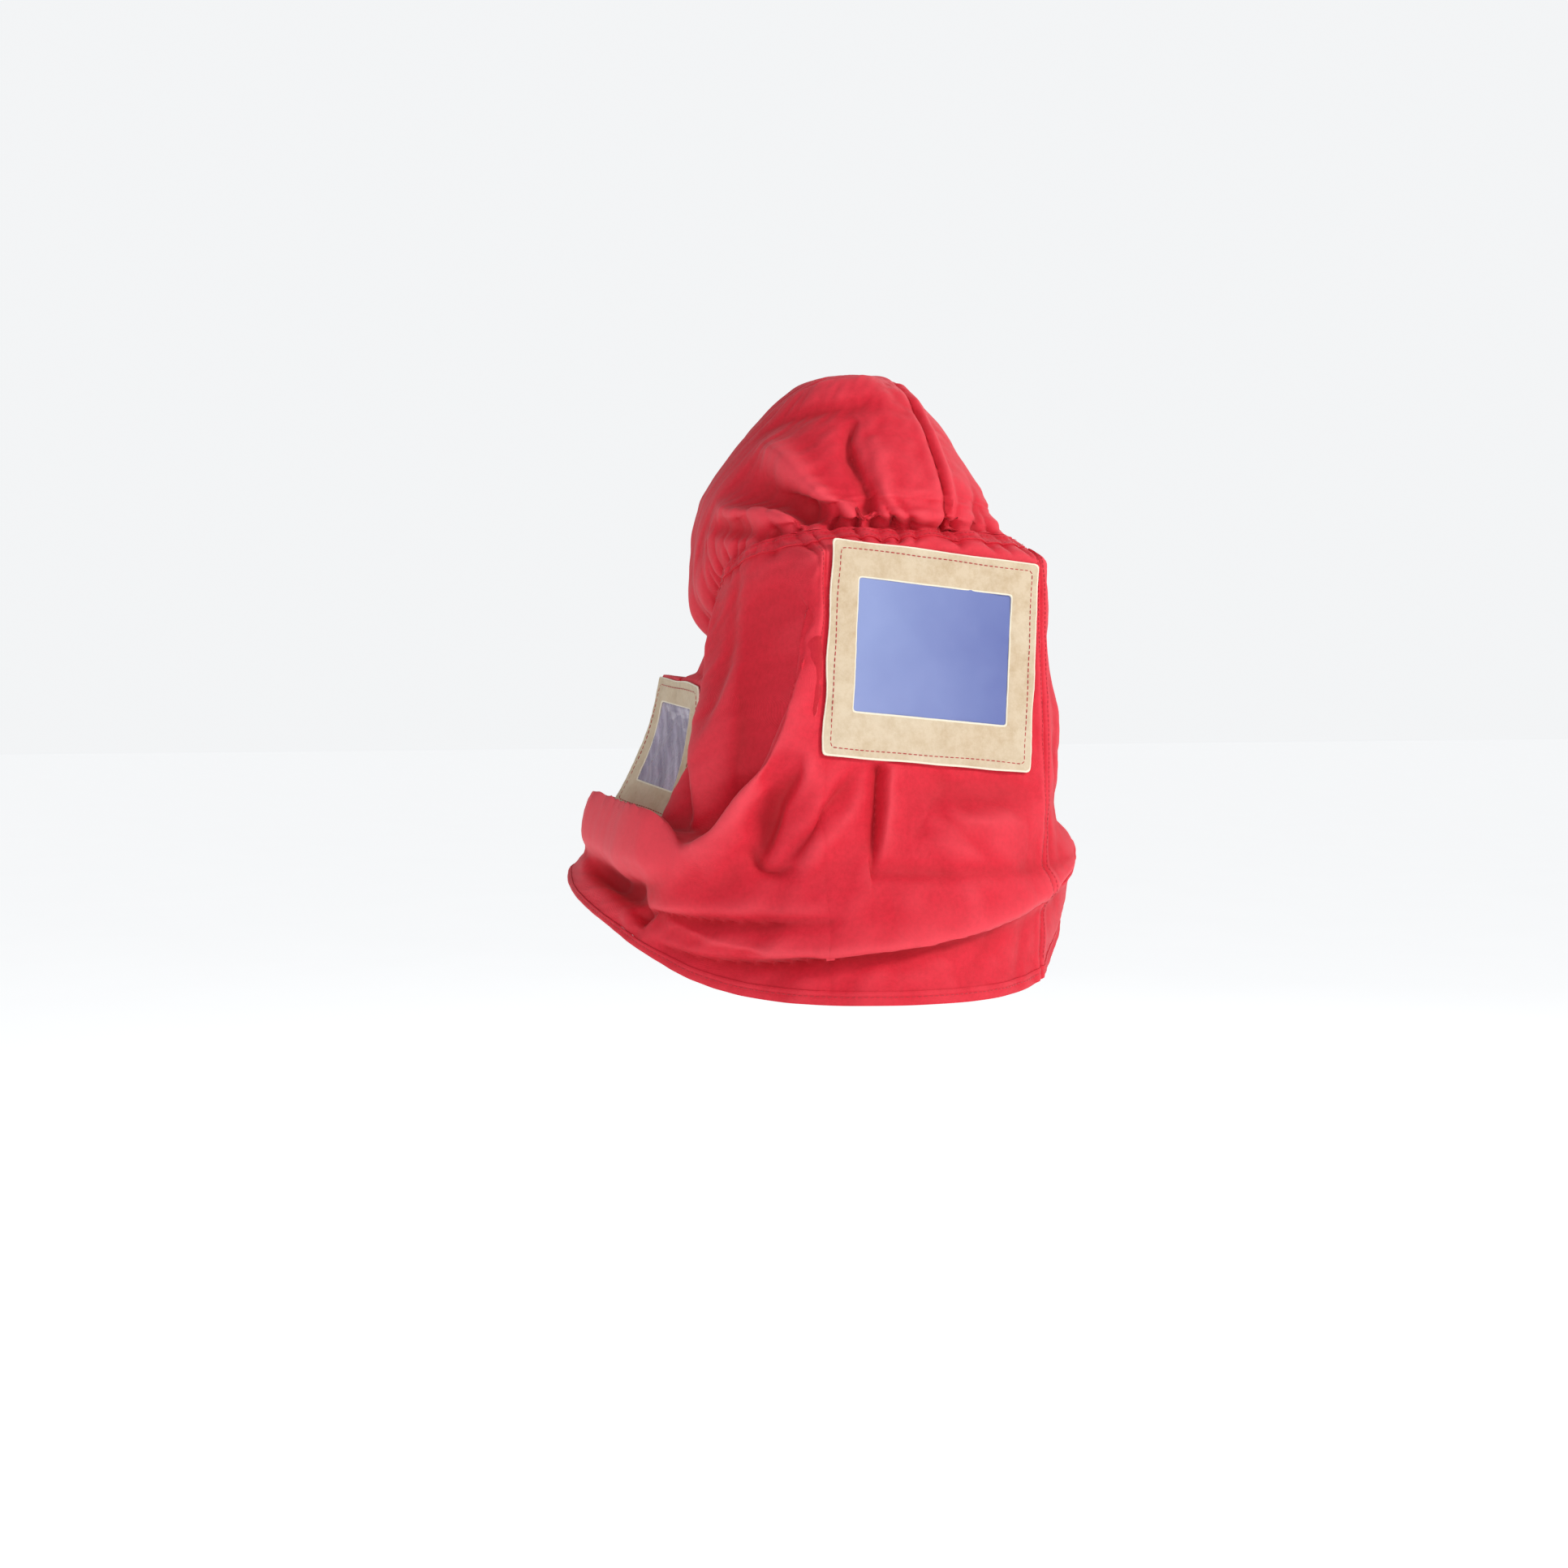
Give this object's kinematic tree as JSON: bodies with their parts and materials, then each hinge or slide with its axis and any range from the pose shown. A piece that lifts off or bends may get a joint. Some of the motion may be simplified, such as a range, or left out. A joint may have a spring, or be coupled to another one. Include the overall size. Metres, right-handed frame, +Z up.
{
  "type": "cloth sandblasting hood",
  "caption": "Cloth hood with a puffed cap drawn in by an elastic casing, walls that hang to the shoulders, a framed front window and a smaller side window.",
  "frame": {"origin": "inside of the cap's top, where a head holds the hood up", "axes": "+Z up along the wearer's head, -Y out of the front window, -X to the wearer's right, where the side window is"},
  "size_m": [0.4296, 0.4183, 0.4957],
  "materials": {
    "cloth": "red cotton twill, matt with a soft sheen",
    "frame": "undyed split leather, pale cut edges, stitched in red",
    "lens": "clear sheet with a blue tint",
    "film": "crumpled clear film, slightly violet"
  },
  "bodies": {
    "root": {"crown_right": "cloth", "crown_left": "cloth", "gather_band": "cloth", "front_panel": "cloth", "right_panel": "cloth", "left_panel": "cloth", "hem": "cloth", "front_frame": "frame", "side_frame": "frame", "front_lens": "lens", "side_film": "film"}
  },
  "joints": []
}
